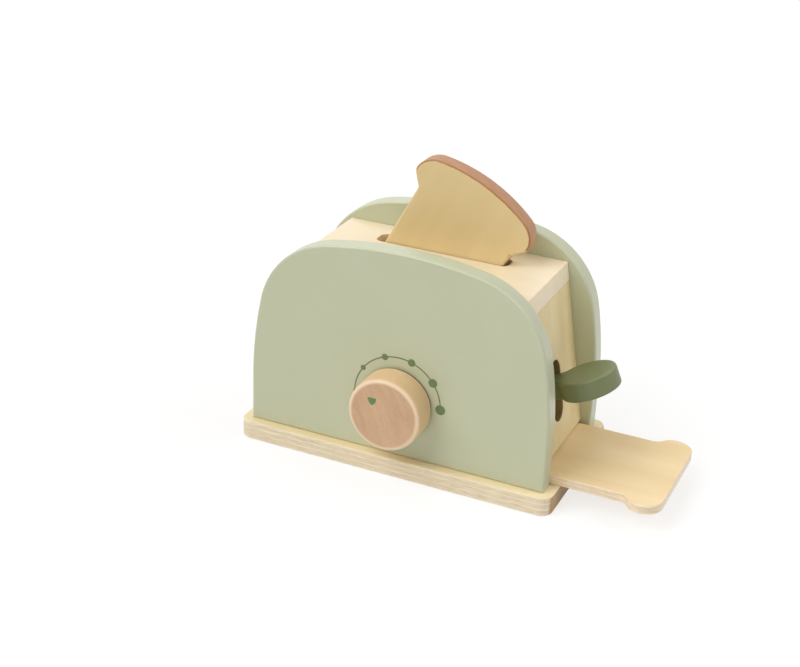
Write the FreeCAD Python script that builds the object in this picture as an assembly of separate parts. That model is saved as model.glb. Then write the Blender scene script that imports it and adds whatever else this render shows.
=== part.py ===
"""Wooden toy toaster with a see-saw lever, a turning knob and a pull-out crumb tray.

Millimetres, +Z up. The origin is the middle of the base board's underside. +X points to the end
with the lever and the tray, and the front panel with the knob faces -Y.
"""
import FreeCAD
import Part

import math
import os

V = FreeCAD.Vector
NEAR = 1e-4                # two places this close count as one

# ---------------------------------------------------------------- driving dimensions
# front and back panels
PANEL_THICK = 12.0         # board thickness
PANEL_HALF = 96.2          # half the panel's width
PANEL_RISE = 129.4         # base top to the crown of the arch
PANEL_ARCH_DROP = 99.9     # crown down to where the upright sides begin to curve
PANEL_SIDE_R = 265.0       # slow curve above the upright side
PANEL_CORNER_R = 54.5      # shoulder of the arch
PANEL_CROWN_R = 257.0      # flat curve over the top
PANEL_ROUND = 1.4          # eased edges of the painted panels
PANEL_SKIN = 4.0           # wood left behind a blind hole

# base board
BASE_THICK = 12.0
BASE_MARGIN_ENDS = 6.1     # beyond the panels at the left and right
BASE_MARGIN_SIDES = 5.8    # beyond the panels at the front and back
BASE_CORNER_R = 7.5
BASE_ROUND = 0.8

# body between the panels
BODY_DEPTH = 73.2          # clear distance between the panels
TOP_INSET = 24.0           # end of the top board's upper face, in from the panel's widest
TOP_DROP = 19.6            # crown of the arch down to the top board's upper face
TOP_THICK = 12.0
TOP_ROUND = 0.6
SIDE_LEAN = 10.0           # degrees that the end boards lean in towards the top
SIDE_THICK = 10.0
SIDE_ROUND = 0.6

# bread slots in the top board
SLOT_END_PLAY = 1.6        # beyond a slice's lobes, at each end
SLOT_SIDE_PLAY = 0.7       # beyond a slice's faces, at each side
SLOT_END_R = 4.5
SLOT_SPACING = 31.6        # between the two slots' centre lines
SLOT_ROUND = 0.5

# lever slot in the right end board, measured on the board's outer face
LEVER_SLOT_PLAY = 0.8      # at each side of the lever's neck
LEVER_SLOT_LENGTH = 38.6
LEVER_SLOT_RISE = 4.5      # the slot's middle over the pivot's axis
LEVER_SLOT_ROUND = 0.6
CUT_EXTRA = 5.0            # how far the cut runs past the board's faces

# lever, a flat plate that tips on a cross dowel
LEVER_THICK = 12.0
LEVER_TILT = 24.0          # degrees, outer end up, at rest
LEVER_NECK_HALF = 7.2
LEVER_PADDLE_R = 18.2
LEVER_PADDLE_REACH = 38.4  # pivot to the middle of the paddle
LEVER_NECK_FILLET = 5.5    # where the neck runs into the paddle
LEVER_ARM_GAP = 1.12       # inner end of the arm, over the tray at rest
LEVER_ARM_BEYOND = 1.5     # the arm reaches this far past both slots
LEVER_SHOULDER = 2.0       # the wide arm goes on this far past the pivot
LEVER_ARM_CORNER = 6.0
LEVER_ROUND = 1.5
PIVOT_INSET = 6.85         # pivot's axis, in from the right end board's inner face
PIVOT_LEVEL = 37.5         # base top to the pivot's axis
PIVOT_R = 3.0
PIVOT_PLAY = 0.06          # radial clearance of the lever on its dowel

# cross dowels inside
STOP_R = 4.0
STOP_TRAY_GAP = 0.7        # under the stop dowel, above the tray
REST_R = 4.0
REST_X = -28.0
STOP_GAP = 0.1             # between the stop dowel and the lever at rest

# crumb tray
TRAY_THICK = 6.0
TRAY_GAP = 0.2             # under the tray
TRAY_HEADROOM = 0.8        # between the tray and the right end board
TRAY_FRONT_GAP = 0.45      # between the tray and the front panel
TRAY_BACK_GAP = 3.35       # between the tray and the back panel
TRAY_TAIL_GAP = 3.9        # tail to the left end board, when the tray is pushed home
TRAY_OVERHANG = 22.6       # far end beyond the panels, when the tray is pushed home
TRAY_PULL = 44.0           # how far it is drawn out
TRAY_EAR_REACH = 7.3       # grip beyond the tray's sides
TRAY_CORNER_R = 11.5
TRAY_EAR_FLAT = 0.5        # straight bit of an ear, between its two curves
TRAY_EAR_R = 9.0
TRAY_WAIST_R = 7.0
TRAY_TAIL_R = 4.0
TRAY_ROUND = 0.6

# knob and its axle
KNOB_R = 22.8
KNOB_HEIGHT = 17.5
KNOB_X = 1.3
KNOB_LEVEL = 35.0          # base top to the knob's axis
KNOB_ROUND = 2.2
KNOB_BACK_ROUND = 0.5
KNOB_STANDOFF = 1.2        # gap between the knob and the panel
SPACER_INSET = 0.5         # the felt's edge, in from the knob's side
SPACER_PLAY = 0.1          # between the felt and the panel
AXLE_R = 2.0
AXLE_PLAY = 0.08           # radial clearance in the panel
AXLE_SKIN = 5.5            # wood left between the screw's tip and the knob's face
AXLE_HEAD_R = 4.0
AXLE_HEAD_HEIGHT = 2.4
AXLE_HEAD_ROUND = 1.1
WASHER_R = 5.5
WASHER_THICK = 1.0
WASHER_GAP = 0.1           # between the washer and the panel

# bread slice, leaning in the rear slot
SLICE_THICK = 12.0
SLICE_HALF = 34.3          # half the width of the body
SLICE_HEIGHT = 81.1        # bottom to the crown of the dome
SLICE_DOME = 27.7          # dome above the two notches
SLICE_LOBE_HALF = 41.4     # half the width across the lobes
SLICE_LOBE_R = 5.2         # tight curve at a lobe's outermost point
SLICE_LOBE_SLOPE = 49.0    # degrees, straight run from a notch out to the lobe
SLICE_SHOULDER_R = 14.6    # fuller curve between a lobe and the dome
SLICE_SHOULDER_END = 7.4   # degrees above the lobe's level, where the two curves meet
SLICE_CORNER_R = 2.5
SLICE_ROUND = 1.5
SLICE_TILT = 27.45         # degrees, top leaning towards the lever end
SLICE_RIM_GAP = 0.25       # at the slot's right rim, which the slice leans on
SLICE_FOOT_GAP = 0.59      # at the slot's left end, where its lower corner stands
SLICE_LOBE_GAP = 0.3       # under a lobe that would lie on the top board

# glued dowels
DOWEL_R = 3.0
DOWEL_LENGTH = 18.0
DOWEL_CHAMFER = 0.6
GLUE_GAP = 0.05            # radial, in every glued or screwed hole
TOP_DOWEL_COUNT = 3
TOP_DOWEL_PITCH = 50.0
SIDE_DOWEL_INSET = 14.0    # from the end board's top and bottom

# countersunk base screws
SCREW_R = 1.75
SCREW_LENGTH = 28.0
SCREW_HEAD_R = 3.6
SCREW_SINK = 0.4           # head below the base's underside
SCREW_COUNT = 3
SCREW_INSET = 21.0         # outer screws, in from the panel's ends
RECESS_WIDTH = 0.9         # cross recess in a screw head
RECESS_DEPTH = 1.1
RECESS_SHARE = 0.62        # of the head's radius that the recess reaches

# ---------------------------------------------------------------- derived places
PANEL_INNER = BODY_DEPTH / 2
PANEL_OUTER = PANEL_INNER + PANEL_THICK
PANEL_MIDDLE = PANEL_INNER + PANEL_THICK / 2
BLIND_DEPTH = PANEL_THICK - PANEL_SKIN
BASE_TOP = BASE_THICK
CROWN_Z = BASE_TOP + PANEL_RISE

TOP_HALF = PANEL_HALF - TOP_INSET
TOP_Z = CROWN_Z - TOP_DROP
TOP_UNDER_Z = TOP_Z - TOP_THICK
LEAN = math.radians(SIDE_LEAN)
SIDE_ACROSS = SIDE_THICK / math.cos(LEAN)
SLOT_HALF = SLICE_LOBE_HALF + SLOT_END_PLAY
SLOT_WIDTH = SLICE_THICK + 2 * SLOT_SIDE_PLAY
SLOT_Y = SLOT_SPACING / 2
SPACER_R = KNOB_R - SPACER_INSET
SPACER_THICK = KNOB_STANDOFF - SPACER_PLAY


def side_x(z):
    """Outer face of the right end board at height z."""
    return TOP_HALF + (TOP_Z - z) * math.tan(LEAN)


def side_inner_x(z):
    return side_x(z) - SIDE_ACROSS


PIVOT_Z = BASE_TOP + PIVOT_LEVEL
PIVOT_X = side_inner_x(PIVOT_Z) - PIVOT_INSET
TILT = math.radians(LEVER_TILT)
LEVER_ARM_HALF = SLOT_Y + SLOT_WIDTH / 2 + LEVER_ARM_BEYOND
LEVER_SLOT_HALF = LEVER_NECK_HALF + LEVER_SLOT_PLAY
LEVER_SLOT_Z = PIVOT_Z + LEVER_SLOT_RISE

TRAY_Z = BASE_TOP + TRAY_GAP
TRAY_TOP_Z = TRAY_Z + TRAY_THICK
TRAY_WIDTH = BODY_DEPTH - TRAY_FRONT_GAP - TRAY_BACK_GAP
TRAY_Y = -PANEL_INNER + TRAY_FRONT_GAP + TRAY_WIDTH / 2
TRAY_HOME_X = PANEL_HALF + TRAY_OVERHANG
TRAY_LENGTH = TRAY_HOME_X + side_inner_x(TRAY_TOP_Z) - TRAY_TAIL_GAP
RIGHT_BOTTOM_Z = TRAY_TOP_Z + TRAY_HEADROOM
LEVER_ARM_DROP = PIVOT_Z - TRAY_TOP_Z - LEVER_ARM_GAP
LEVER_ARM_LENGTH = (LEVER_ARM_DROP - LEVER_THICK / 2 * math.cos(TILT)) / math.sin(TILT)

KNOB_Z = BASE_TOP + KNOB_LEVEL
KNOB_BACK_Y = -PANEL_OUTER - KNOB_STANDOFF
WASHER_Y = -PANEL_INNER + WASHER_GAP


def lever_plane(height):
    """Height over the lever's middle plane, as the constant of -x sin + z cos at rest."""
    return -PIVOT_X * math.sin(TILT) + PIVOT_Z * math.cos(TILT) + height


def stop_place():
    """Centre of the dowel that the inner arm rests on: over the tray and under the arm."""
    z = TRAY_TOP_Z + STOP_TRAY_GAP + STOP_R
    plane = lever_plane(-LEVER_THICK / 2 - STOP_R - STOP_GAP)
    return (z * math.cos(TILT) - plane) / math.sin(TILT), z


def rest_place():
    """Centre of the dowel that holds a dropped slice level with the sloping arm."""
    bread_z = (lever_plane(LEVER_THICK / 2) + SLICE_HALF * math.sin(TILT)) / math.cos(TILT)
    return REST_X, bread_z - REST_R


# ---------------------------------------------------------------- small helpers
def line(a, b):
    return Part.LineSegment(a, b).toShape()


def arc(centre, radius, start, end):
    """Arc in the XY plane about centre, from the angle start to the angle end."""
    def at(angle):
        return centre + V(radius * math.cos(angle), radius * math.sin(angle), 0)
    return Part.Arc(at(start), at((start + end) / 2), at(end)).toShape()


def slab(edges, thick):
    """Plate of a closed outline in the XY plane, from z = 0 up."""
    wire = Part.Wire(Part.__sortEdges__(edges))
    return Part.Face(wire).extrude(V(0, 0, thick))


def rounded_box(half_x, half_y, radius, thick):
    box = Part.makeBox(2 * half_x, 2 * half_y, thick, V(-half_x, -half_y, 0))
    uprights = [e for e in box.Edges if e.BoundBox.ZLength > NEAR]
    return box.makeFillet(radius, uprights)


def rim_edges(shape, z):
    """Edges of a shape that lie in the plane at z."""
    return [e for e in shape.Edges if abs(e.BoundBox.ZMin - z) < NEAR and e.BoundBox.ZLength < NEAR]


def eased(shape, thick, radius):
    """The slab with both of its rims rounded."""
    return shape.makeFillet(radius, rim_edges(shape, 0) + rim_edges(shape, thick))


def upright(shape):
    """Turn a slab drawn in XY so that its drawing stands in XZ and its thickness runs to +Y."""
    shape = shape.copy()
    shape.rotate(V(0, 0, 0), V(1, 0, 0), 90)
    shape.translate(V(0, shape.BoundBox.YLength, 0))
    return shape


def cross_rod(x, y_from, z, radius, length):
    """Rod that runs along +Y from y_from."""
    return Part.makeCylinder(radius, length, V(x, y_from, z), V(0, 1, 0))


def chamfered_rod(x, y_from, z, radius, length, chamfer):
    rod = cross_rod(x, y_from, z, radius, length)
    return rod.makeChamfer(chamfer, [e for e in rod.Edges if e.Curve.TypeId == "Part::GeomCircle"])


def cross_recess(head_radius):
    """Cross-shaped cut, from z = 0 down."""
    reach = head_radius * RECESS_SHARE
    half = RECESS_WIDTH / 2
    bar = Part.makeBox(2 * reach, RECESS_WIDTH, RECESS_DEPTH, V(-reach, -half, -RECESS_DEPTH))
    other = Part.makeBox(RECESS_WIDTH, 2 * reach, RECESS_DEPTH, V(-half, -reach, -RECESS_DEPTH))
    return bar.fuse(other)


def group(solids):
    return Part.makeCompound(solids)


# ---------------------------------------------------------------- fasteners and dowels
def top_dowel_places():
    first = -TOP_DOWEL_PITCH * (TOP_DOWEL_COUNT - 1) / 2
    z = TOP_Z - TOP_THICK / 2
    return [(first + TOP_DOWEL_PITCH * i, z) for i in range(TOP_DOWEL_COUNT)]


def side_dowel_places(side, bottom):
    """Places in the middle of an end board's thickness; side is 1 for the right one."""
    heights = (bottom + SIDE_DOWEL_INSET, TOP_UNDER_Z - SIDE_DOWEL_INSET)
    return [(side * (side_x(z) - SIDE_ACROSS / 2), z) for z in heights]


def joint_dowels(places, face, grow=0.0):
    """Dowels that cross the joint at a panel's inner face; face is 1 at the back, -1 in front."""
    near = PANEL_INNER + BLIND_DEPTH - DOWEL_LENGTH
    y_from = near if face > 0 else -near - DOWEL_LENGTH
    if grow:
        length = DOWEL_LENGTH + 2 * grow
        return [cross_rod(x, y_from - grow, z, DOWEL_R + grow, length) for x, z in places]
    return [chamfered_rod(x, y_from, z, DOWEL_R, DOWEL_LENGTH, DOWEL_CHAMFER) for x, z in places]


def end_dowels(side, bottom):
    """The four dowels that hold one end board between the panels."""
    places = side_dowel_places(side, bottom)
    return joint_dowels(places, -1) + joint_dowels(places, 1)


def all_joint_dowels(face, grow=0.0):
    places = top_dowel_places()
    places += side_dowel_places(1, RIGHT_BOTTOM_Z)
    places += side_dowel_places(-1, BASE_TOP)
    return joint_dowels(places, face, grow)


def screw_places():
    outer = PANEL_HALF - SCREW_INSET
    pitch = 2 * outer / (SCREW_COUNT - 1)
    return [-outer + pitch * i for i in range(SCREW_COUNT)]


def base_screw(x, y, grow=0.0):
    """Countersunk screw from below, as a solid, or grown by a clearance as a hole."""
    head_height = SCREW_HEAD_R - SCREW_R
    shank = Part.makeCylinder(SCREW_R + grow, SCREW_LENGTH + grow, V(0, 0, SCREW_SINK))
    head = Part.makeCone(SCREW_HEAD_R + grow, SCREW_R + grow, head_height, V(0, 0, SCREW_SINK))
    screw = shank.fuse(head)
    if grow:
        screw = screw.fuse(Part.makeCylinder(SCREW_HEAD_R + grow, SCREW_SINK))
    else:
        recess = cross_recess(SCREW_HEAD_R)
        recess.translate(V(0, 0, SCREW_SINK + RECESS_DEPTH))
        screw = screw.cut(recess)
    screw.translate(V(x, y, 0))
    return screw


def base_screws(face, grow=0.0):
    return [base_screw(x, face * PANEL_MIDDLE, grow) for x in screw_places()]


def socket_rod(x, z, radius, grow=0.0):
    """Cross dowel that sits in blind holes in both panels."""
    half = PANEL_INNER + BLIND_DEPTH
    if grow:
        return cross_rod(x, -half - grow, z, radius + grow, 2 * half + 2 * grow)
    return chamfered_rod(x, -half, z, radius, 2 * half, DOWEL_CHAMFER)


def pivot_rod(grow=0.0):
    return socket_rod(PIVOT_X, PIVOT_Z, PIVOT_R, grow)


def stop_rod(grow=0.0):
    x, z = stop_place()
    return socket_rod(x, z, STOP_R, grow)


def rest_rod(grow=0.0):
    x, z = rest_place()
    return socket_rod(x, z, REST_R, grow)


# ---------------------------------------------------------------- base and panels
def base_board():
    half_x = PANEL_HALF + BASE_MARGIN_ENDS
    half_y = PANEL_OUTER + BASE_MARGIN_SIDES
    board = eased(rounded_box(half_x, half_y, BASE_CORNER_R, BASE_THICK), BASE_THICK, BASE_ROUND)
    for hole in base_screws(-1, GLUE_GAP) + base_screws(1, GLUE_GAP):
        board = board.cut(hole)
    return board


def arch_edges():
    """Outline of a panel in XY: upright sides, slow side curves, shoulders and a flat crown."""
    spring = CROWN_Z - PANEL_ARCH_DROP
    side = V(PANEL_HALF - PANEL_SIDE_R, spring, 0)
    crown = V(0, CROWN_Z - PANEL_CROWN_R, 0)
    # the shoulder's circle touches both curves from inside
    to_side = PANEL_SIDE_R - PANEL_CORNER_R
    to_crown = PANEL_CROWN_R - PANEL_CORNER_R
    across = crown - side
    span = across.Length
    along = (to_side ** 2 - to_crown ** 2 + span ** 2) / (2 * span)
    off = math.sqrt(to_side ** 2 - along ** 2)
    unit = across / span
    shoulder = side + unit * along + V(-unit.y, unit.x, 0) * off
    side_end = math.atan2(shoulder.y - side.y, shoulder.x - side.x)
    crown_end = math.atan2(shoulder.y - crown.y, shoulder.x - crown.x)

    right = [
        line(V(PANEL_HALF, BASE_TOP, 0), V(PANEL_HALF, spring, 0)),
        arc(side, PANEL_SIDE_R, 0, side_end),
        arc(shoulder, PANEL_CORNER_R, side_end, crown_end),
    ]
    left = [e.mirror(V(0, 0, 0), V(1, 0, 0)) for e in right]
    top = arc(crown, PANEL_CROWN_R, crown_end, math.pi - crown_end)
    bottom = line(V(-PANEL_HALF, BASE_TOP, 0), V(PANEL_HALF, BASE_TOP, 0))
    return right + [top] + left + [bottom]


def panel(face):
    """Front (face -1) or back (face 1) panel with its blind holes."""
    board = upright(eased(slab(arch_edges(), PANEL_THICK), PANEL_THICK, PANEL_ROUND))
    board.translate(V(0, PANEL_INNER if face > 0 else -PANEL_OUTER, 0))
    holes = all_joint_dowels(face, GLUE_GAP) + base_screws(face, GLUE_GAP)
    holes += [pivot_rod(GLUE_GAP), stop_rod(GLUE_GAP), rest_rod(GLUE_GAP)]
    for hole in holes:
        board = board.cut(hole)
    return board


def front_panel():
    return panel(-1).cut(cross_rod(KNOB_X, -PANEL_OUTER, KNOB_Z, AXLE_R + AXLE_PLAY, PANEL_THICK))


def back_panel():
    return panel(1)


# ---------------------------------------------------------------- top and end boards
def bread_slot(y):
    slot = rounded_box(SLOT_HALF, SLOT_WIDTH / 2, SLOT_END_R, TOP_THICK)
    slot.translate(V(0, y, TOP_UNDER_Z))
    return slot


def section_board(corners):
    """Board of the body's depth with a section in XZ given by its corners."""
    points = [V(x, z, 0) for x, z in corners]
    edges = [line(a, b) for a, b in zip(points, points[1:] + points[:1])]
    board = upright(slab(edges, BODY_DEPTH))
    board.translate(V(0, -PANEL_INNER, 0))
    return board


def long_edges(shape, x, z):
    """Edges along Y at the corner (x, z)."""
    found = []
    for edge in shape.Edges:
        box = edge.BoundBox
        straight = box.XLength < NEAR and box.ZLength < NEAR
        if straight and abs(box.XMin - x) < NEAR and abs(box.ZMin - z) < NEAR:
            found.append(edge)
    return found


def outer_edges(edges):
    """Those of the edges that reach the board's front or back end."""
    return [e for e in edges if max(-e.BoundBox.YMin, e.BoundBox.YMax) > PANEL_INNER - NEAR]


def inside_edges(edges):
    """Those of the edges that stay clear of the board's front and back ends."""
    return [e for e in edges if max(-e.BoundBox.YMin, e.BoundBox.YMax) < PANEL_INNER - NEAR]


def top_board():
    low = side_x(TOP_UNDER_Z)
    corners = [(-low, TOP_UNDER_Z), (low, TOP_UNDER_Z), (TOP_HALF, TOP_Z), (-TOP_HALF, TOP_Z)]
    board = section_board(corners)
    board = board.cut(bread_slot(SLOT_Y)).cut(bread_slot(-SLOT_Y))
    board = board.makeFillet(SLOT_ROUND, inside_edges(rim_edges(board, TOP_Z)))
    # every outer edge but the two long ones underneath
    shown = [e for e in outer_edges(board.Edges) if e.BoundBox.ZMax > TOP_UNDER_Z + NEAR]
    shown += long_edges(board, low, TOP_UNDER_Z) + long_edges(board, -low, TOP_UNDER_Z)
    board = board.makeFillet(TOP_ROUND, shown)
    for face in (-1, 1):
        for hole in joint_dowels(top_dowel_places(), face, GLUE_GAP):
            board = board.cut(hole)
    return board


def on_outer_face(edge, side):
    """True for an edge that lies in an end board's outer face."""
    ends_and_middle = edge.discretize(3)
    return all(abs(side * p.x - side_x(p.z)) < NEAR for p in ends_and_middle)


def end_board(side, bottom):
    """Leaning end board with square edges; side is 1 for the right one."""
    outer = [(side_x(bottom), bottom), (side_x(TOP_UNDER_Z), TOP_UNDER_Z)]
    inner = [(side_inner_x(TOP_UNDER_Z), TOP_UNDER_Z), (side_inner_x(bottom), bottom)]
    return section_board([(side * x, z) for x, z in outer + inner])


def finish_end_board(board, side, bottom):
    """Ease the outer face's edges, apart from the one under the top board, and drill the holes."""
    shown = [e for e in outer_edges(board.Edges) if on_outer_face(e, side)]
    shown = [e for e in shown if e.BoundBox.ZMin < TOP_UNDER_Z - NEAR]
    board = board.makeFillet(SIDE_ROUND, shown)
    for face in (-1, 1):
        for hole in joint_dowels(side_dowel_places(side, bottom), face, GLUE_GAP):
            board = board.cut(hole)
    return board


def left_side_board():
    return finish_end_board(end_board(-1, BASE_TOP), -1, BASE_TOP)


def lever_slot_edges():
    """Outline of the lever slot in XY, its long way along X, with half-round ends."""
    middle = LEVER_SLOT_LENGTH / 2 - LEVER_SLOT_HALF
    half = [
        line(V(-middle, LEVER_SLOT_HALF, 0), V(middle, LEVER_SLOT_HALF, 0)),
        arc(V(middle, 0, 0), LEVER_SLOT_HALF, math.pi / 2, 0),
        arc(V(-middle, 0, 0), LEVER_SLOT_HALF, math.pi, math.pi / 2),
    ]
    return half + [e.mirror(V(0, 0, 0), V(0, 1, 0)) for e in half]


def right_side_board():
    board = end_board(1, RIGHT_BOTTOM_Z)
    # the slot is drawn flat, stood up square to the leaning board and then cut
    slot = slab(lever_slot_edges(), SIDE_THICK + 2 * CUT_EXTRA)
    slot.translate(V(0, 0, -SIDE_THICK - CUT_EXTRA))
    slot.rotate(V(0, 0, 0), V(0, 1, 0), 90 - SIDE_LEAN)
    slot.translate(V(side_x(LEVER_SLOT_Z), 0, LEVER_SLOT_Z))
    board = board.cut(slot)
    rim = [e for e in inside_edges(board.Edges) if on_outer_face(e, 1)]
    board = board.makeFillet(LEVER_SLOT_ROUND, rim)
    return finish_end_board(board, 1, RIGHT_BOTTOM_Z)


# ---------------------------------------------------------------- lever
def lever_edges():
    """Outline of the lever in its own plane, pivot at the origin, paddle towards +X."""
    reach = LEVER_PADDLE_R + LEVER_NECK_FILLET
    rise = LEVER_NECK_HALF + LEVER_NECK_FILLET
    fillet = V(LEVER_PADDLE_REACH - math.sqrt(reach ** 2 - rise ** 2), rise, 0)
    paddle = V(LEVER_PADDLE_REACH, 0, 0)
    meet = math.atan2(fillet.y - paddle.y, fillet.x - paddle.x)
    r = LEVER_ARM_CORNER
    inner = -LEVER_ARM_LENGTH
    half = [
        line(V(inner, 0, 0), V(inner, LEVER_ARM_HALF - r, 0)),
        arc(V(inner + r, LEVER_ARM_HALF - r, 0), r, math.pi, math.pi / 2),
        line(V(inner + r, LEVER_ARM_HALF, 0), V(LEVER_SHOULDER - r, LEVER_ARM_HALF, 0)),
        arc(V(LEVER_SHOULDER - r, LEVER_ARM_HALF - r, 0), r, math.pi / 2, 0),
        line(V(LEVER_SHOULDER, LEVER_ARM_HALF - r, 0), V(LEVER_SHOULDER, LEVER_NECK_HALF, 0)),
        line(V(LEVER_SHOULDER, LEVER_NECK_HALF, 0), V(fillet.x, LEVER_NECK_HALF, 0)),
        arc(fillet, LEVER_NECK_FILLET, -math.pi / 2, meet - math.pi),
        arc(paddle, LEVER_PADDLE_R, meet, 0),
    ]
    return half + [e.mirror(V(0, 0, 0), V(0, 1, 0)) for e in half]


def lever():
    plate = eased(slab(lever_edges(), LEVER_THICK), LEVER_THICK, LEVER_ROUND)
    plate.translate(V(0, 0, -LEVER_THICK / 2))
    bore = cross_rod(0, -LEVER_ARM_HALF, 0, PIVOT_R + PIVOT_PLAY, 2 * LEVER_ARM_HALF)
    plate = plate.cut(bore)
    plate.rotate(V(0, 0, 0), V(0, 1, 0), -LEVER_TILT)
    plate.translate(V(PIVOT_X, 0, PIVOT_Z))
    return plate


# ---------------------------------------------------------------- crumb tray
def tray_edges():
    """Outline of the tray in XY, its far end at x = 0 and its middle line on y = 0."""
    body = TRAY_WIDTH / 2
    grip = body + TRAY_EAR_REACH
    # the waist's hollow and the ear's round are arcs that meet in line
    sweep = math.acos(1 - TRAY_EAR_REACH / (TRAY_WAIST_R + TRAY_EAR_R))
    ear_x = -TRAY_CORNER_R - TRAY_EAR_FLAT
    waist_x = ear_x - (TRAY_EAR_R + TRAY_WAIST_R) * math.sin(sweep)
    tail = -TRAY_LENGTH
    half = [
        line(V(tail, 0, 0), V(tail, body - TRAY_TAIL_R, 0)),
        arc(V(tail + TRAY_TAIL_R, body - TRAY_TAIL_R, 0), TRAY_TAIL_R, math.pi, math.pi / 2),
        line(V(tail + TRAY_TAIL_R, body, 0), V(waist_x, body, 0)),
        arc(V(waist_x, body + TRAY_WAIST_R, 0), TRAY_WAIST_R, -math.pi / 2, sweep - math.pi / 2),
        arc(V(ear_x, grip - TRAY_EAR_R, 0), TRAY_EAR_R, math.pi / 2 + sweep, math.pi / 2),
        line(V(ear_x, grip, 0), V(-TRAY_CORNER_R, grip, 0)),
        arc(V(-TRAY_CORNER_R, grip - TRAY_CORNER_R, 0), TRAY_CORNER_R, math.pi / 2, 0),
        line(V(0, grip - TRAY_CORNER_R, 0), V(0, 0, 0)),
    ]
    return half + [e.mirror(V(0, 0, 0), V(0, 1, 0)) for e in half]


def crumb_tray():
    tray = eased(slab(tray_edges(), TRAY_THICK), TRAY_THICK, TRAY_ROUND)
    tray.translate(V(TRAY_HOME_X + TRAY_PULL, TRAY_Y, TRAY_Z))
    return tray


# ---------------------------------------------------------------- knob
def knob():
    body = Part.makeCylinder(KNOB_R, KNOB_HEIGHT)
    body = body.makeFillet(KNOB_ROUND, rim_edges(body, KNOB_HEIGHT))
    body = body.makeFillet(KNOB_BACK_ROUND, rim_edges(body, 0))
    body.rotate(V(0, 0, 0), V(1, 0, 0), 90)
    body.translate(V(KNOB_X, KNOB_BACK_Y, KNOB_Z))
    depth = KNOB_HEIGHT - AXLE_SKIN + GLUE_GAP
    return body.cut(cross_rod(KNOB_X, KNOB_BACK_Y - depth, KNOB_Z, AXLE_R + GLUE_GAP, depth))


def knob_spacer():
    ring = cross_rod(KNOB_X, KNOB_BACK_Y, KNOB_Z, SPACER_R, SPACER_THICK)
    return ring.cut(cross_rod(KNOB_X, KNOB_BACK_Y, KNOB_Z, AXLE_R + GLUE_GAP, SPACER_THICK))


def knob_washer():
    ring = cross_rod(KNOB_X, WASHER_Y, KNOB_Z, WASHER_R, WASHER_THICK)
    return ring.cut(cross_rod(KNOB_X, WASHER_Y, KNOB_Z, AXLE_R + GLUE_GAP, WASHER_THICK))


def knob_screw():
    head_y = WASHER_Y + WASHER_THICK
    tip_y = KNOB_BACK_Y - KNOB_HEIGHT + AXLE_SKIN
    shank = cross_rod(KNOB_X, tip_y, KNOB_Z, AXLE_R, head_y - tip_y)
    head = cross_rod(KNOB_X, head_y, KNOB_Z, AXLE_HEAD_R, AXLE_HEAD_HEIGHT)
    rim = [e for e in head.Edges if e.BoundBox.YMin > head_y + AXLE_HEAD_HEIGHT - NEAR]
    head = head.makeFillet(AXLE_HEAD_ROUND, rim)
    recess = cross_recess(AXLE_HEAD_R)
    recess.rotate(V(0, 0, 0), V(1, 0, 0), -90)
    recess.translate(V(KNOB_X, head_y + AXLE_HEAD_HEIGHT, KNOB_Z))
    return shank.fuse(head).cut(recess)


# ---------------------------------------------------------------- bread slice
def slot_reach(off_centre):
    """How far a slot reaches along X at a distance off its centre line."""
    into = max(0.0, off_centre - (SLOT_WIDTH / 2 - SLOT_END_R))
    return SLOT_HALF - SLOT_END_R + math.sqrt(SLOT_END_R ** 2 - into ** 2)


def lobe_place():
    """Centre of the right lobe's tight curve, which the run from the notch touches."""
    slope = math.radians(SLICE_LOBE_SLOPE)
    x = SLICE_LOBE_HALF - SLICE_LOBE_R
    y = (SLICE_LOBE_R + (x - SLICE_HALF) * math.sin(slope)) / math.cos(slope)
    return V(x, y, 0)


def slice_edges():
    """Outline of the slice in XY, the middle of its notch line at the origin."""
    slope = math.radians(SLICE_LOBE_SLOPE)
    turn = math.radians(SLICE_SHOULDER_END)
    lobe = lobe_place()
    shoulder = lobe - V(math.cos(turn), math.sin(turn), 0) * (SLICE_SHOULDER_R - SLICE_LOBE_R)
    # the dome's circle touches both shoulders from outside
    over = SLICE_DOME - shoulder.y
    spare = over - SLICE_SHOULDER_R
    dome_r = (shoulder.x ** 2 + over ** 2 - SLICE_SHOULDER_R ** 2) / (2 * spare)
    dome = V(0, SLICE_DOME - dome_r, 0)
    meet = math.atan2(shoulder.y - dome.y, shoulder.x)
    touch = lobe + V(math.sin(slope), -math.cos(slope), 0) * SLICE_LOBE_R
    notch = V(SLICE_HALF, 0, 0)
    bottom = SLICE_DOME - SLICE_HEIGHT
    r = SLICE_CORNER_R
    half = [
        arc(dome, dome_r, math.pi / 2, meet),
        arc(shoulder, SLICE_SHOULDER_R, meet, turn),
        arc(lobe, SLICE_LOBE_R, turn, slope - math.pi / 2),
        line(touch, notch),
        line(notch, V(SLICE_HALF, bottom + r, 0)),
        arc(V(SLICE_HALF - r, bottom + r, 0), r, 0, -math.pi / 2),
        line(V(SLICE_HALF - r, bottom, 0), V(0, bottom, 0)),
    ]
    return half + [e.mirror(V(0, 0, 0), V(1, 0, 0)) for e in half]


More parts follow.
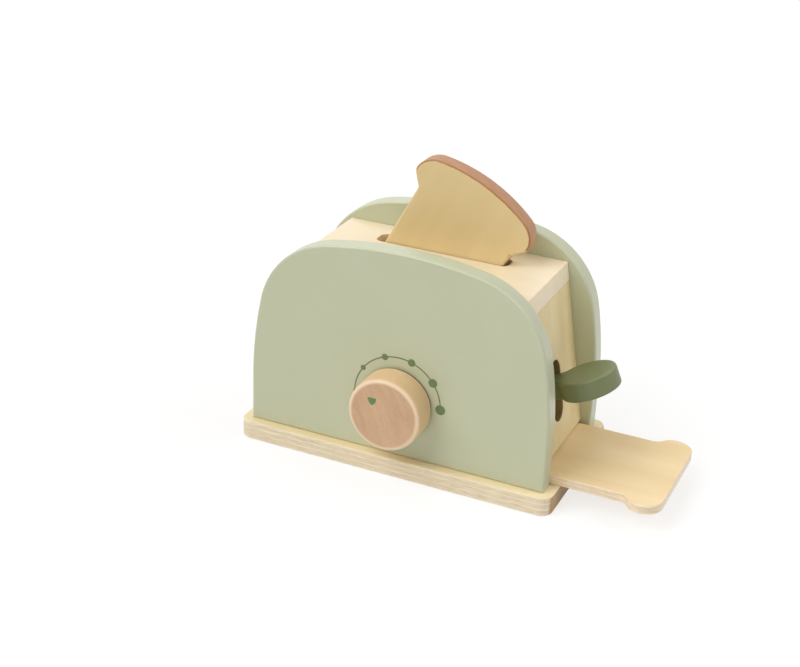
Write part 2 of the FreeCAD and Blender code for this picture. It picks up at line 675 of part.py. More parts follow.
def slice_place():
    """Where the notch line's middle is, with the slice leaning across its slot.

    Its right edge leans on the slot's rim. It has slid down until its lower left corner stands
    on the slot's end or its right lobe or notch lies on the top board, whichever comes first.
    """
    tilt = math.radians(SLICE_TILT)
    reach = slot_reach(SLICE_THICK / 2)
    middle = reach - SLICE_RIM_GAP - SLICE_HALF / math.cos(tilt)
    corner = (SLICE_HALF - SLICE_CORNER_R) * math.cos(tilt) + SLICE_CORNER_R
    sunk = (middle + reach - SLICE_FOOT_GAP - corner) / math.sin(tilt)
    on_corner = SLICE_HEIGHT - SLICE_DOME - SLICE_CORNER_R - sunk
    lobe = lobe_place()
    lobe_drop = lobe.x * math.sin(tilt) - lobe.y * math.cos(tilt) + SLICE_LOBE_R
    notch_drop = SLICE_HALF * math.sin(tilt)
    on_lobe = (max(lobe_drop, notch_drop) + SLICE_LOBE_GAP) / math.cos(tilt)
    standout = max(on_corner, on_lobe)
    return V(middle + standout * math.sin(tilt), SLOT_Y, TOP_Z + standout * math.cos(tilt))


def bread_slice():
    bread = upright(eased(slab(slice_edges(), SLICE_THICK), SLICE_THICK, SLICE_ROUND))
    bread.translate(V(0, -SLICE_THICK / 2, 0))
    bread.rotate(V(0, 0, 0), V(0, 1, 0), SLICE_TILT)
    bread.translate(slice_place())
    return bread


# ---------------------------------------------------------------- assembly
def parts():
    return {
        "base_board": base_board(),
        "front_panel": front_panel(),
        "back_panel": back_panel(),
        "top_board": top_board(),
        "left_side_board": left_side_board(),
        "right_side_board": right_side_board(),
        "front_top_dowels": group(joint_dowels(top_dowel_places(), -1)),
        "back_top_dowels": group(joint_dowels(top_dowel_places(), 1)),
        "left_side_dowels": group(end_dowels(-1, BASE_TOP)),
        "right_side_dowels": group(end_dowels(1, RIGHT_BOTTOM_Z)),
        "front_base_screws": group(base_screws(-1)),
        "back_base_screws": group(base_screws(1)),
        "lever_pivot_dowel": pivot_rod(),
        "lever_stop_dowel": stop_rod(),
        "bread_rest_dowel": rest_rod(),
        "lever": lever(),
        "crumb_tray": crumb_tray(),
        "knob": knob(),
        "knob_spacer": knob_spacer(),
        "knob_washer": knob_washer(),
        "knob_screw": knob_screw(),
        "bread_slice": bread_slice(),
    }


def main():
    os.makedirs("parts", exist_ok=True)
    for name, shape in parts().items():
        shape.exportStep(os.path.join("parts", name + ".step"))
        box = shape.BoundBox
        print("%-18s solids %d valid %s" % (name, len(shape.Solids), shape.isValid()), end="")
        print("  x %.2f %.2f  y %.2f %.2f" % (box.XMin, box.XMax, box.YMin, box.YMax), end="")
        print("  z %.2f %.2f" % (box.ZMin, box.ZMax))


main()
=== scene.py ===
"""Looks of a wooden toy toaster: painted panels, lacquered boards, plywood edges and printed marks.

Blender works in metres. Sizes below are millimetres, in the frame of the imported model: +Z up,
the front panel with the knob towards -Y, the lever and the crumb tray towards +X.
"""
import math

import bmesh
import bpy
from mathutils import Matrix, Vector


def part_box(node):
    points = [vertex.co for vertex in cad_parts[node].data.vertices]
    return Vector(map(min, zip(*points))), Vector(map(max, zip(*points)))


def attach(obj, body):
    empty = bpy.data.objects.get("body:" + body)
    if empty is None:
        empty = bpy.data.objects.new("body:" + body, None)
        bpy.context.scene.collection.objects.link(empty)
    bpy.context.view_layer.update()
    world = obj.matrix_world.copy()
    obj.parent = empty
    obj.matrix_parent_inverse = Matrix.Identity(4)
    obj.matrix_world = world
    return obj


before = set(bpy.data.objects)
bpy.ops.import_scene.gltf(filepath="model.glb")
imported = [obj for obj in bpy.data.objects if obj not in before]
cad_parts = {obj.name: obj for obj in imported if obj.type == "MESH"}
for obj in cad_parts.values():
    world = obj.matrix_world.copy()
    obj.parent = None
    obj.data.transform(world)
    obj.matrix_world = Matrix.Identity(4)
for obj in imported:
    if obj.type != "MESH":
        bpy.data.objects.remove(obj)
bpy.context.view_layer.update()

MM = 0.001
X, Y, Z = range(3)         # axes, where a function asks for one

# ---------------------------------------------------------------- printed marks
DIAL_X = 1.6               # centre of the dial's arc on the front panel
DIAL_Z = 48.8
DIAL_R = 27.8
DIAL_LINE = 0.8            # width of the line
DIAL_START = 1.2           # degrees, first dot
DIAL_STEP = 35.85          # degrees from dot to dot
DIAL_DOTS = (3.15, 2.8, 2.4, 2.05, 1.65, 1.0)   # their radii, from the right end
INK_LINE_THICK = 0.04
INK_DOT_THICK = 0.06       # more than the line, so that their faces don't meet
MARK_CORNERS = ((-8.3, 56.3), (-4.1, 56.35), (-4.55, 54.45), (-6.1, 52.95), (-7.25, 53.9))   # x, z
MARK_CORNER_R = 0.65

# ---------------------------------------------------------------- boards and knob
LACQUER_IOR = 1.48
BASE_PLIES = 7
TRAY_PLIES = 5
SLICE_PLIES = 7
SLICE_TILT = 27.45         # degrees that the slice leans towards +X
SLICE_NOTCH_Z = 134.7      # notch line over the model's origin, along the slice's own axis
CRUST_UNDERSIDE = -0.12    # crust paint ends where the edge turns further down than this, 1 being up
CRUST_BORDER = (0.95, 0.995)    # and where it turns this far into the face, from place to place
PLY_WANDER = 0.3           # how far a ply's layers stray from straight
GLUE_LINE = (0.12, 0.02)   # distance from a joint, in layers, where its dark line begins and is full
KNOB_GRAIN_LEAN = 28.0     # degrees that the grain leans on the knob's face
KNOB_SIDE_PALER = 0.55     # how far the knob's side turns towards its paler tone
KNOB_RIM_HIGHLIGHT = (19.8, 21.4)    # distance from the knob's axis where the painted highlight on its rim begins, and where it is full
BREAD_SLOTS = ((0.0, 0.0, 115.8), (50.0, 30.0, 8.0))      # middle and reach of a box round both slots
LEVER_SLOT = ((80.0, 0.0, 54.0), (20.0, 9.2, 21.5))       # the same for the slot in the end board

# ---------------------------------------------------------------- light and view
CAMERA_AT = (313.1, -764.0, 458.2)
CAMERA_AZIMUTH = 23.53
CAMERA_ELEVATION = 25.12
CAMERA_ROLL = 2.61
CAMERA_SENSOR = 36.0
CAMERA_LENS = 67.13
WHITE = (1.0, 1.0, 1.0, 1.0)
FLOOR_BOUNCE = (0.80, 0.80, 0.80, 1.0)     # what the floor gives back to the toy
FLOOR_SHADED = (0.26, 0.28, 0.30, 1.0)     # what a full shadow takes from the white floor, least from red
FLOOR_GLOW = (0.77, 0.75, 0.73, 1.0)       # what it leaves
FLOOR_REACH = 6000.0       # from the middle to each side
FLOOR_DROP = 0.2           # the floor lies this far under the base, so that their faces don't meet
# each soft box: degrees round from the front, degrees up, level, degrees across
SOFT_BOXES = (
    ("key_light", -42.0, 45.0, 0.60, 50.0),
    ("overhead_light", 0.0, 86.0, 0.10, 60.0),
    ("right_light", 115.0, 42.0, 0.42, 50.0),
    ("back_light", -135.0, 45.0, 0.22, 50.0),
    ("front_light", 20.0, 16.0, 0.19, 50.0))


# ---------------------------------------------------------------- node helpers
def linear(hex_colour):
    """sRGB hex to the linear colour that Blender's sockets take."""
    channels = [int(hex_colour[i:i + 2], 16) / 255 for i in (1, 3, 5)]
    return [c / 12.92 if c <= 0.04045 else ((c + 0.055) / 1.055) ** 2.4 for c in channels] + [1.0]


def add(tree, kind, inputs=None, **settings):
    """Add one node. inputs holds values or other nodes' outputs, by the socket's name or number."""
    made = tree.nodes.new(kind)
    for name, value in settings.items():
        setattr(made, name, value)
    for name, value in (inputs or {}).items():
        if isinstance(value, bpy.types.NodeSocket):
            tree.links.new(value, made.inputs[name])
        else:
            made.inputs[name].default_value = value
    return made


def empty_material(name):
    material = bpy.data.materials.new(name)
    material.use_nodes = True
    material.node_tree.nodes.clear()
    return material, material.node_tree


def new_material(name):
    """A material with its Principled surface, the surface point in millimetres and its normal."""
    material, tree = empty_material(name)
    surface = add(tree, "ShaderNodeBsdfPrincipled")
    add(tree, "ShaderNodeOutputMaterial", {"Surface": surface.outputs[0]})
    coords = add(tree, "ShaderNodeTexCoord")
    place = add(tree, "ShaderNodeVectorMath", {
        0: coords.outputs["Object"], "Scale": 1 / MM}, operation="SCALE")
    return material, tree, surface, place.outputs[0], coords.outputs["Normal"]


def streaks(tree, place, sizes, detail=2.0, seed=0.0):
    """Noise of 0 to 1 whose spots are about sizes millimetres long along X, Y and Z."""
    stretched = add(tree, "ShaderNodeMapping", {
        "Vector": place, "Location": (seed, seed, seed), "Scale": [1 / s for s in sizes]})
    noise = add(tree, "ShaderNodeTexNoise", {
        "Vector": stretched.outputs[0], "Scale": 1.0, "Detail": detail, "Roughness": 0.55})
    return noise.outputs["Fac"]


def sizes_along(axis, length, width):
    """Sizes for streaks that are length millimetres long on one axis and width on the others."""
    return [length if i == axis else width for i in (X, Y, Z)]


def tone(tree, value, start, end, first, second, most=1.0):
    """Colour that turns from first towards second as value goes from start to end.

    first and second are hex colours or a node's output, and most is how far it turns.
    """
    share = add(tree, "ShaderNodeMapRange", {
        "Value": value, "From Min": start, "From Max": end, "To Max": most})
    low, high = [linear(colour) if isinstance(colour, str) else colour for colour in (first, second)]
    # a Mix node's colours are its inputs 6 and 7 and its output 2
    mix = add(tree, "ShaderNodeMix", {0: share.outputs[0], 6: low, 7: high}, data_type="RGBA")
    return mix.outputs[2]


def facing(tree, normal, axis, start=0.55, end=0.8):
    """1 where the surface faces along the axis, either way, and 0 where it is the board's edge."""
    split = add(tree, "ShaderNodeSeparateXYZ", {0: normal})
    size = add(tree, "ShaderNodeMath", {0: split.outputs[axis]}, operation="ABSOLUTE")
    share = add(tree, "ShaderNodeMapRange", {"Value": size.outputs[0], "From Min": start, "From Max": end})
    return share.outputs[0]


def inside(tree, place, middle, reach):
    """1 in the box that reaches this far each way from its middle, and 0 outside."""
    moved = add(tree, "ShaderNodeVectorMath", {0: place, 1: middle}, operation="SUBTRACT")
    size = add(tree, "ShaderNodeVectorMath", {0: moved.outputs[0]}, operation="ABSOLUTE")
    room = add(tree, "ShaderNodeVectorMath", {0: reach, 1: size.outputs[0]}, operation="SUBTRACT")
    split = add(tree, "ShaderNodeSeparateXYZ", {0: room.outputs[0]})
    flat = add(tree, "ShaderNodeMath", {0: split.outputs[0], 1: split.outputs[1]}, operation="MINIMUM")
    least = add(tree, "ShaderNodeMath", {0: flat.outputs[0], 1: split.outputs[2]}, operation="MINIMUM")
    return add(tree, "ShaderNodeMath", {0: least.outputs[0], 1: 0.0}, operation="GREATER_THAN").outputs[0]


def finish(tree, surface, colour, height, depth, roughness, coat=0.0, coat_roughness=0.35, ior=1.5):
    """Give the surface its colour, a relief of depth millimetres, and a coat of lacquer or paint."""
    bump = add(tree, "ShaderNodeBump", {"Height": height, "Distance": depth * MM, "Strength": 1.0})
    tree.links.new(bump.outputs[0], surface.inputs["Normal"])
    tree.links.new(colour, surface.inputs["Base Color"])
    surface.inputs["Roughness"].default_value = roughness
    surface.inputs["Coat Weight"].default_value = coat
    surface.inputs["Coat Roughness"].default_value = coat_roughness
    surface.inputs["IOR"].default_value = ior


# ---------------------------------------------------------------- woods
def board_figure(tree, place, along, pale, dark, strength):
    """Colour and fibre height of sanded wood: wide soft bands, clouds and faint fine fibres.

    The grain runs on the axis along. Real fibres are about 0.1 mm wide, and these are 0.6 mm,
    so that they show.
    """
    bands = streaks(tree, place, sizes_along(along, 260.0, 15.0), detail=1.0, seed=31.0)
    clouds = streaks(tree, place, sizes_along(along, 70.0, 26.0), detail=2.0, seed=8.0)
    fibres = streaks(tree, place, sizes_along(along, 24.0, 0.6), detail=3.0)
    banded = tone(tree, bands, 0.34, 0.66, pale, dark, most=strength)
    clouded = tone(tree, clouds, 0.35, 0.7, banded, dark, most=0.7 * strength)
    return tone(tree, fibres, 0.4, 0.75, clouded, dark, most=0.25 * strength), fibres


def ply_layers(tree, place, axis, start, thick, count, pale, cross, glue):
    """Colour and streaks of a plywood's edge: layers across axis, their grain turned each time.

    Start and thick are millimetres on that axis. Real pores and saw scratches are about 0.1 mm
    wide, and these are 0.3 to 0.5 mm, so that they show.
    """
    split = add(tree, "ShaderNodeSeparateXYZ", {0: place})
    wander = streaks(tree, place, (45.0, 45.0, 45.0), detail=1.0, seed=7.0)
    bent = add(tree, "ShaderNodeMapRange", {"Value": wander, "To Min": -PLY_WANDER, "To Max": PLY_WANDER})
    height = add(tree, "ShaderNodeMath", {0: split.outputs[axis], 1: bent.outputs[0]}, operation="ADD")
    layer = add(tree, "ShaderNodeMath", {
        0: height.outputs[0], 1: count / thick, 2: -start * count / thick - 0.5}, operation="MULTIPLY_ADD")
    # swings from 0 in the middle of a long layer to 1 in the middle of a crossing one
    swing = add(tree, "ShaderNodeMath", {0: layer.outputs[0], 1: 1.0}, operation="PINGPONG").outputs[0]
    along = streaks(tree, place, sizes_along(axis, 0.45, 16.0), detail=3.0, seed=3.0)
    pores = streaks(tree, place, sizes_along(axis, 0.5, 1.4), detail=2.0, seed=11.0)
    long_layer = tone(tree, along, 0.35, 0.65, pale, cross)
    crossing = tone(tree, pores, 0.35, 0.75, cross, glue, most=0.35)
    layers = tone(tree, swing, 0.35, 0.65, long_layer, crossing, most=0.75)
    off = add(tree, "ShaderNodeMath", {0: swing, 1: 0.5}, operation="SUBTRACT")
    away = add(tree, "ShaderNodeMath", {0: off.outputs[0]}, operation="ABSOLUTE")
    line = add(tree, "ShaderNodeMapRange", {
        "Value": away.outputs[0], "From Min": GLUE_LINE[0], "From Max": GLUE_LINE[1], "To Max": 0.8})
    broken = add(tree, "ShaderNodeMath", {0: line.outputs[0], 1: along}, operation="MULTIPLY")
    lined = tone(tree, broken.outputs[0], 0.0, 1.0, layers, glue)
    scratches = streaks(tree, place, sizes_along(axis, 0.3, 8.0), detail=2.0, seed=19.0)
    scored = tone(tree, scratches, 0.52, 0.68, lined, glue, most=0.7)
    return tone(tree, scratches, 0.42, 0.3, scored, pale, most=0.8), along


def basswood(name, along, face_axis, pale, dark, strength, slots, cut, coat):
    """Sawn and sanded linden: cream, nearly without figure, raw inside its slots, their walls darkened by
    painted shade.

    Its grain runs on the axis along and its faces lie across face_axis. slots is the middle
    and reach of a box round them, and cut is the colour of their walls.
    """
    material, tree, surface, place, normal = new_material(name)
    board, fibres = board_figure(tree, place, along, pale, dark, strength)
    wall = add(tree, "ShaderNodeMath", {
        0: inside(tree, place, *slots), 1: facing(tree, normal, face_axis)}, operation="SUBTRACT")
    # slot walls turn to cut: painted shade for the dim inside of the slots
    colour = tone(tree, wall.outputs[0], 0.0, 1.0, board, cut)
    finish(tree, surface, colour, fibres, 0.02, 0.55, coat=coat, ior=LACQUER_IOR)
    return material


def plywood(name, node, plies, face, face_dark, pale, cross, glue, end, end_share):
    """Rotary-cut birch plywood: a plain veneer on its faces and its layers at the edges.

    end is the colour that its two ends, the edges facing X, turn towards; on the base it is painted shade.
    """
    low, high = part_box(node)
    material, tree, surface, place, normal = new_material(name)
    veneer, fibres = board_figure(tree, place, X, face, face_dark, 0.3)
    edge, along = ply_layers(tree, place, Z, low.z / MM, (high.z - low.z) / MM, plies, pale, cross, glue)
    share = facing(tree, normal, Z)
    # the ends turn towards end: painted shade on the base, for the shade under the crumb tray
    ended = tone(tree, facing(tree, normal, X, start=0.8, end=0.95), 0.0, 1.0, edge, end, most=end_share)
    grain = add(tree, "ShaderNodeMix", {0: share, 2: along, 3: fibres}, data_type="FLOAT")
    finish(tree, surface, tone(tree, share, 0.0, 1.0, ended, veneer), grain.outputs[0], 0.03,
           0.55, coat=0.12, ior=LACQUER_IOR)
    return material


def beech():
    """Sanded beech knob: pinkish tan, mottled and flecked, paler round its side, with a painted highlight
    on its rim.
    """
    material, tree, surface, place, normal = new_material("sanded_beech")
    leant = add(tree, "ShaderNodeMapping", {
        "Vector": place, "Rotation": (0.0, math.radians(KNOB_GRAIN_LEAN), 0.0)})
    tilted = leant.outputs[0]
    colour, fibres = board_figure(tree, tilted, Z, "#D5B089", "#B98E66", 0.3)
    patches = streaks(tree, tilted, (6.0, 6.0, 15.0), detail=3.0, seed=17.0)
    mottled = tone(tree, patches, 0.4, 0.62, colour, "#C4957A", most=0.4)
    rays = streaks(tree, tilted, (1.8, 3.0, 14.0), detail=2.0, seed=23.0)
    rayed = tone(tree, rays, 0.45, 0.65, mottled, "#E0BE9A", most=0.22)
    flecks = streaks(tree, tilted, (0.5, 0.8, 3.0), detail=1.0, seed=5.0)
    flecked = tone(tree, flecks, 0.58, 0.72, rayed, "#A9825A", most=0.35)
    side = tone(tree, 1.0, 0.0, 1.0, flecked, "#FFDEA9", most=KNOB_SIDE_PALER)
    bare = tone(tree, facing(tree, normal, Y), 0.0, 1.0, side, flecked)
    low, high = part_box("knob")
    middle = (low + high) / 2 / MM
    # painted highlight: a pale ring on the rim, by distance from the knob's axis, where light catches the
    # rounding
    from_axis = add(tree, "ShaderNodeMapping", {
        "Vector": place, "Location": (-middle.x, 0.0, -middle.z), "Scale": (1.0, 0.0, 1.0)})
    radius = add(tree, "ShaderNodeVectorMath", {0: from_axis.outputs[0]}, operation="LENGTH")
    outer = add(tree, "ShaderNodeMapRange", {
        "Value": radius.outputs["Value"], "From Min": KNOB_RIM_HIGHLIGHT[0], "From Max": KNOB_RIM_HIGHLIGHT[1]})
    rim = add(tree, "ShaderNodeMath", {
        0: outer.outputs[0], 1: facing(tree, normal, Y, start=0.4, end=0.8)}, operation="MULTIPLY")
    finish(tree, surface, tone(tree, rim.outputs[0], 0.0, 1.0, bare, "#FFE6C6", most=0.75), fibres, 0.02,
           0.5, coat=0.2, ior=LACQUER_IOR)
    return material


def dowel_beech():
    """Raw turned dowel, left as it comes off the lathe."""
    material, tree, surface, place, _ = new_material("raw_dowel")
    colour, fibres = board_figure(tree, place, Y, "#D8B78E", "#B48F66", 0.6)
    finish(tree, surface, colour, fibres, 0.04, 0.7)
    return material


def bread_plywood():
    """The slice: plain birch faces, bare layers at its straight sides and brown paint on the crust."""
    low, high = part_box("bread_slice")
    lean = math.radians(SLICE_TILT)
    material, tree, surface, place, normal = new_material("bread_plywood")
    upright = add(tree, "ShaderNodeMapping", {"Vector": place, "Rotation": (0.0, -lean, 0.0)})
    own = upright.outputs[0]
    veneer, fibres = board_figure(tree, own, Z, "#EAD29D", "#D2B478", 0.22)
    edge, along = ply_layers(tree, own, Y, low.y / MM, (high.y - low.y) / MM, SLICE_PLIES,
                             "#F3E2BA", "#DCC494", "#C4A678")
    share = facing(tree, normal, Y)
    bare = tone(tree, share, 0.0, 1.0, edge, veneer)
    split = add(tree, "ShaderNodeSeparateXYZ", {0: own})
    above = add(tree, "ShaderNodeMath", {0: split.outputs[Z], 1: SLICE_NOTCH_Z}, operation="GREATER_THAN")
    rise = add(tree, "ShaderNodeVectorMath", {
        0: normal, 1: (math.sin(lean), 0.0, math.cos(lean))}, operation="DOT_PRODUCT")
    topside = add(tree, "ShaderNodeMath", {
        0: rise.outputs["Value"], 1: CRUST_UNDERSIDE}, operation="GREATER_THAN")
    # the brush wobbles a little where the rounded edge runs into the face
    wobble = streaks(tree, own, (6.0, 6.0, 6.0), detail=2.0, seed=2.0)
    uneven = add(tree, "ShaderNodeMapRange", {
        "Value": wobble, "From Min": 0.3, "From Max": 0.7,
        "To Min": CRUST_BORDER[0], "To Max": CRUST_BORDER[1]})
    side = add(tree, "ShaderNodeSeparateXYZ", {0: normal})
    flat = add(tree, "ShaderNodeMath", {0: side.outputs[Y]}, operation="ABSOLUTE").outputs[0]
    outward = add(tree, "ShaderNodeMath", {0: flat, 1: uneven.outputs[0]}, operation="LESS_THAN")
    upper = add(tree, "ShaderNodeMath", {0: above.outputs[0], 1: topside.outputs[0]}, operation="MULTIPLY")
    crust = add(tree, "ShaderNodeMath", {0: upper.outputs[0], 1: outward.outputs[0]}, operation="MULTIPLY")
    brush = streaks(tree, own, (9.0, 1.2, 9.0), detail=2.0, seed=9.0)
    middle = tone(tree, brush, 0.3, 0.7, "#BF916E", "#B28059")
    paint = tone(tree, flat, 0.35, 0.9, middle, "#A9703F")
    grain = add(tree, "ShaderNodeMix", {0: share, 2: along, 3: fibres}, data_type="FLOAT")
    finish(tree, surface, tone(tree, crust.outputs[0], 0.0, 1.0, bare, paint), grain.outputs[0], 0.02,
           0.55, coat=0.1, ior=LACQUER_IOR)
    return material


# ---------------------------------------------------------------- paints, ink, metal and felt
def water_paint(name, colour, worn, face_axis, edge, roughness, coat):
    """Sprayed water-based paint on sanded board: even colour, faint cloudiness, fine orange peel.

    The board's faces lie across face_axis. Its cut edges turn a little darker, to the colour
    edge; on the sage panels this is painted shade that dims their pale upward rims.
    """
    material, tree, surface, place, normal = new_material(name)
    cloud = streaks(tree, place, (45.0, 45.0, 45.0), detail=3.0)
    peel = streaks(tree, place, (1.1, 1.1, 1.1), detail=2.0, seed=4.0)
    even = tone(tree, cloud, 0.3, 0.7, colour, worn, most=0.5)
    speckled = tone(tree, peel, 0.3, 0.7, even, worn, most=0.12)
    # edges darker than the faces: painted shade on the sage panels' rims
    edges_dimmed = tone(tree, facing(tree, normal, face_axis), 0.0, 1.0, edge, speckled)
    finish(tree, surface, edges_dimmed, peel, 0.015, roughness, coat=coat, coat_roughness=0.3)
    return material


def pad_ink(name, colour, faded):
    """Pad-printed ink: flat colour, a little thin in places where the wood's grain takes less."""
    material, tree, surface, place, _ = new_material(name)
    thin = streaks(tree, place, (0.8, 0.8, 0.8), detail=2.0)
    finish(tree, surface, tone(tree, thin, 0.35, 0.75, colour, faded, most=0.4), thin, 0.01, 0.6)
    return material


def zinc_steel():
    """Zinc-plated screws and washer: bright grey with a slightly cloudy, brushed plating."""
    material, tree, surface, place, _ = new_material("zinc_plated_steel")
    cloud = streaks(tree, place, (2.0, 2.0, 0.4), detail=3.0)
    tree.links.new(tone(tree, cloud, 0.3, 0.7, "#C9C8C2", "#AEADA6"), surface.inputs["Base Color"])
    gloss = add(tree, "ShaderNodeMapRange", {
        "Value": cloud, "From Min": 0.3, "From Max": 0.7, "To Min": 0.26, "To Max": 0.42})
    tree.links.new(gloss.outputs[0], surface.inputs["Roughness"])
    surface.inputs["Metallic"].default_value = 1.0
    return material


def felt_and_gap_shade():
    """Dark brown pressed felt ring behind the knob, rough and full of short fibres; its dark line round
    the knob is partly painted shade.

    Wool fibres are about 0.03 mm wide, and these are 0.3 mm, so that they show.
    """
    material, tree, surface, place, _ = new_material("felt_and_gap_shade")
    lint = streaks(tree, place, (0.3, 0.3, 0.3), detail=3.0)
    # dark brown: the felt's own colour, and partly painted shade for the gap behind the knob
    finish(tree, surface, tone(tree, lint, 0.3, 0.7, "#22180D", "#372A1A"), lint, 0.15, 0.95)
    surface.inputs["Sheen Weight"].default_value = 0.1
    return material


def dress(material, *names):
    """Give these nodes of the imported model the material."""
    for name in names:
        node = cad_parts[name]
        node.data.materials.clear()
        node.data.materials.append(material)


# ---------------------------------------------------------------- objects and printed pieces
def put_in_scene(name, data):
    """An object of this mesh, lamp or camera."""
    made = bpy.data.objects.new(name, data)
    bpy.context.scene.collection.objects.link(made)
    return made


def prism(mesh, outline, y, thick):
    """Add a thin flat piece: outline in x and z, its back at y and its face thick nearer to -Y."""
    back = [mesh.verts.new((x * MM, y * MM, z * MM)) for x, z in outline]
    face = [mesh.verts.new((x * MM, (y - thick) * MM, z * MM)) for x, z in outline]
    mesh.faces.new(face)
    mesh.faces.new(list(reversed(back)))
    for i in range(len(outline)):
        j = (i + 1) % len(outline)
        mesh.faces.new((face[j], face[i], back[i], back[j]))


def mesh_object(mesh, name, material):
    data = bpy.data.meshes.new(name)
    mesh.to_mesh(data)
    mesh.free()
    data.materials.append(material)
    return put_in_scene(name, data)


def printed_piece(mesh, name, ink, body):
    """Turn the mesh into a piece of ink that moves with a body."""
    bmesh.ops.recalc_face_normals(mesh, faces=mesh.faces)
    piece = mesh_object(mesh, name, ink)
    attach(piece, body)


def disc(x, z, radius, count=48):
    """Outline of a dot."""
    turn = 2 * math.pi / count
    return [(x + radius * math.cos(turn * i), z + radius * math.sin(turn * i)) for i in range(count)]


def arc_band(x, z, radius, width, start, end, count=24):
    """Outline of a stretch of a ring, angles in degrees."""
    angles = [math.radians(start + (end - start) * i / count) for i in range(count + 1)]
    outer, inner = [[(x + r * math.cos(a), z + r * math.sin(a)) for a in angles]
                    for r in (radius + width / 2, radius - width / 2)]
    return outer + list(reversed(inner))


def dial_print(ink):
    """Arc of six dots that grow towards the right, joined by a thin line."""
    low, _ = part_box("front_panel")
    y = low.y / MM
    mesh = bmesh.new()
    for i, radius in enumerate(DIAL_DOTS):
        angle = math.radians(DIAL_START + DIAL_STEP * i)
        at_x = DIAL_X + DIAL_R * math.cos(angle)
        at_z = DIAL_Z + DIAL_R * math.sin(angle)
        prism(mesh, disc(at_x, at_z, radius), y, INK_DOT_THICK)
    for i in range(len(DIAL_DOTS) - 1):
        start = DIAL_START + DIAL_STEP * i
        line = arc_band(DIAL_X, DIAL_Z, DIAL_R, DIAL_LINE, start, start + DIAL_STEP)
        prism(mesh, line, y, INK_LINE_THICK)
    printed_piece(mesh, "dial_print", ink, "housing")


def rounded_corners(corners, radius, count=8):
    """Outline round circles of the radius about the corners, which run clockwise in x and z."""
    outline = []
    for i, (x, z) in enumerate(corners):
        before = corners[i - 1]
        after = corners[(i + 1) % len(corners)]
        start = math.atan2(z - before[1], x - before[0]) + math.pi / 2
        end = math.atan2(after[1] - z, after[0] - x) + math.pi / 2
        sweep = (end - start) % (2 * math.pi) - 2 * math.pi
        for k in range(count + 1):
            a = start + sweep * k / count
            outline.append((x + radius * math.cos(a), z + radius * math.sin(a)))
    return outline


def knob_mark(ink):
    """Small rounded wedge that shows where the knob points."""
    low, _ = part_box("knob")
    mesh = bmesh.new()
    prism(mesh, rounded_corners(MARK_CORNERS, MARK_CORNER_R), low.y / MM, INK_DOT_THICK)
    printed_piece(mesh, "knob_mark", ink, "knob")


# ---------------------------------------------------------------- studio
def seen_directly(tree):
    """1 for the camera's rays and for those that gloss or glass sends on, and 0 for the light's."""
    light_path = add(tree, "ShaderNodeLightPath")
    seen = light_path.outputs["Is Camera Ray"]
    for ray in ("Is Glossy Ray", "Is Transmission Ray"):
        either = add(tree, "ShaderNodeMath", {0: seen, 1: light_path.outputs[ray]}, operation="MAXIMUM")
        seen = either.outputs[0]
    return seen


def floor():
    """White sweep that keeps the toy's shadow and reads as plain white elsewhere."""
    material, tree = empty_material("white_sweep")
    paper = add(tree, "ShaderNodeBsdfDiffuse", {"Color": FLOOR_BOUNCE})
    shaded = add(tree, "ShaderNodeBsdfDiffuse", {"Color": FLOOR_SHADED})
    glow = add(tree, "ShaderNodeEmission", {"Color": FLOOR_GLOW})
    shown = add(tree, "ShaderNodeAddShader", {0: shaded.outputs[0], 1: glow.outputs[0]})
    mixed = add(tree, "ShaderNodeMixShader", {
        0: seen_directly(tree), 1: paper.outputs[0], 2: shown.outputs[0]})
    add(tree, "ShaderNodeOutputMaterial", {"Surface": mixed.outputs[0]})
    mesh = bmesh.new()
    bmesh.ops.create_grid(mesh, x_segments=1, y_segments=1, size=FLOOR_REACH * MM)
    plane = mesh_object(mesh, "studio_floor", material)
    plane.location.z = -FLOOR_DROP * MM


def direction(turn, rise):
    """Vector of length 1 from the toy, turned from the front towards +X and raised, in degrees."""
    turn = math.radians(turn)
    rise = math.radians(rise)
    return Vector((math.sin(turn) * math.cos(rise), -math.cos(turn) * math.cos(rise), math.sin(rise)))


def soft_box(name, turn, rise, level, spread):
    """Even light from far away; a level of 1 shows a white face turned to it as white."""
    data = bpy.data.lights.new(name, "SUN")
    data.energy = level * math.pi
    data.angle = math.radians(spread)
    lamp = put_in_scene(name, data)
    lamp.location = direction(turn, rise)
    lamp.rotation_euler = lamp.location.to_track_quat("Z", "Y").to_euler()


def studio_light():
    """A world that looks white but gives no light, and the soft boxes that do."""
    world = bpy.data.worlds.new("studio")
    world.use_nodes = True
    tree = world.node_tree
    tree.nodes.clear()
    backdrop = add(tree, "ShaderNodeBackground", {"Color": WHITE, "Strength": seen_directly(tree)})
    add(tree, "ShaderNodeOutputWorld", {"Surface": backdrop.outputs[0]})
    bpy.context.scene.world = world
    for box in SOFT_BOXES:
        soft_box(*box)


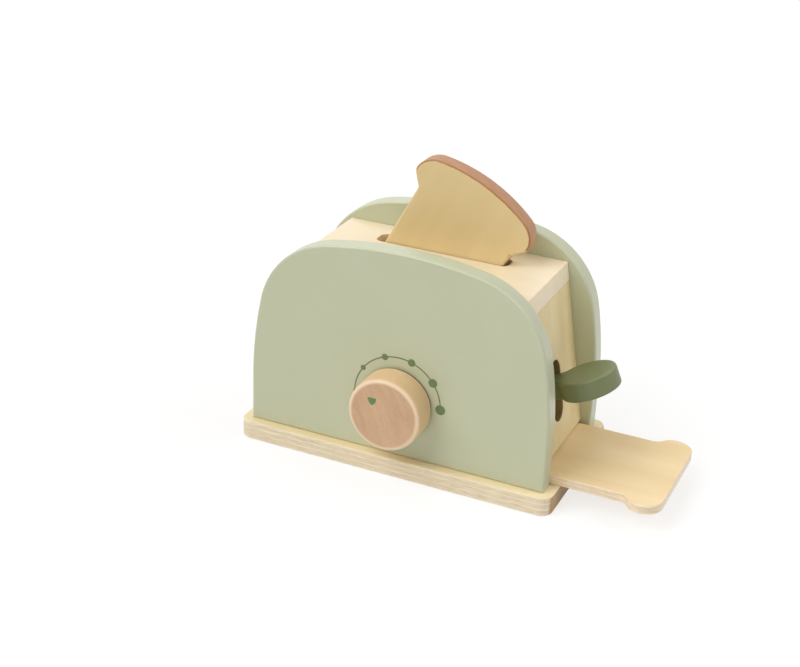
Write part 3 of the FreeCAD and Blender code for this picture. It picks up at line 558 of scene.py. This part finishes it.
def camera():
    back = direction(CAMERA_AZIMUTH, CAMERA_ELEVATION)
    roll = math.radians(CAMERA_ROLL)
    right = Vector((0, 0, 1)).cross(back).normalized()
    up = back.cross(right)
    side = math.cos(roll) * right + math.sin(roll) * up
    top = -math.sin(roll) * right + math.cos(roll) * up
    data = bpy.data.cameras.new("camera")
    data.sensor_width = CAMERA_SENSOR
    data.lens = CAMERA_LENS
    eye = put_in_scene("camera", data)
    turn = Matrix((side, top, back)).transposed().to_4x4()
    eye.matrix_world = Matrix.Translation(Vector(CAMERA_AT) * MM) @ turn
    bpy.context.scene.camera = eye


# ---------------------------------------------------------------- the toy
camera()
studio_light()
floor()
bpy.context.scene.view_settings.view_transform = "Standard"

# edge: painted shade that dims the panels' pale upward rims
dress(water_paint("sage_paint", colour="#C3C6A6", worn="#BCBF9B", face_axis=Y, edge="#BBBE9E",
                  roughness=0.6, coat=1.0),
      "front_panel", "back_panel")
dress(water_paint("olive_paint", colour="#767E55", worn="#6E764E", face_axis=Z, edge="#70784F",
                  roughness=0.5, coat=0.12),
      "lever")
# cut: painted shade on the walls of the bread slots
dress(basswood("basswood_top", along=X, face_axis=Z, pale="#F8E8C9", dark="#E4CB9E", strength=0.2,
               slots=BREAD_SLOTS, cut="#DCC49A", coat=0.35),
      "top_board")
# cut: the lever slot's raw walls, darkened further by painted shade
dress(basswood("basswood_ends", along=Z, face_axis=X, pale="#F3E3B4", dark="#DABE84", strength=0.5,
               slots=LEVER_SLOT, cut="#A68C59", coat=0.1),
      "left_side_board", "right_side_board")
# both ends turn dark brown: painted shade, for the shade that the crumb tray throws on the base's end
dress(plywood("birch_plywood", "base_board", BASE_PLIES, face="#FBE9BF", face_dark="#E6CE9C",
              pale="#FBEFD6", cross="#EEDBBA", glue="#CDB891", end="#A9854D", end_share=0.9),
      "base_board")
dress(plywood("tray_plywood", "crumb_tray", TRAY_PLIES, face="#FCE4B6", face_dark="#D8B373",
              pale="#FFF2D8", cross="#F6DAB6", glue="#D6B68D", end="#FFF6E8", end_share=0.35),
      "crumb_tray")
dress(bread_plywood(), "bread_slice")
dress(beech(), "knob")
dress(dowel_beech(), "front_top_dowels", "back_top_dowels", "left_side_dowels", "right_side_dowels",
      "lever_pivot_dowel", "lever_stop_dowel", "bread_rest_dowel")
dress(zinc_steel(), "front_base_screws", "back_base_screws", "knob_screw", "knob_washer")
dress(felt_and_gap_shade(), "knob_spacer")
dial_print(pad_ink("dial_ink", "#6A7C51", "#7B8D64"))
knob_mark(pad_ink("mark_ink", "#637F4D", "#768F61"))
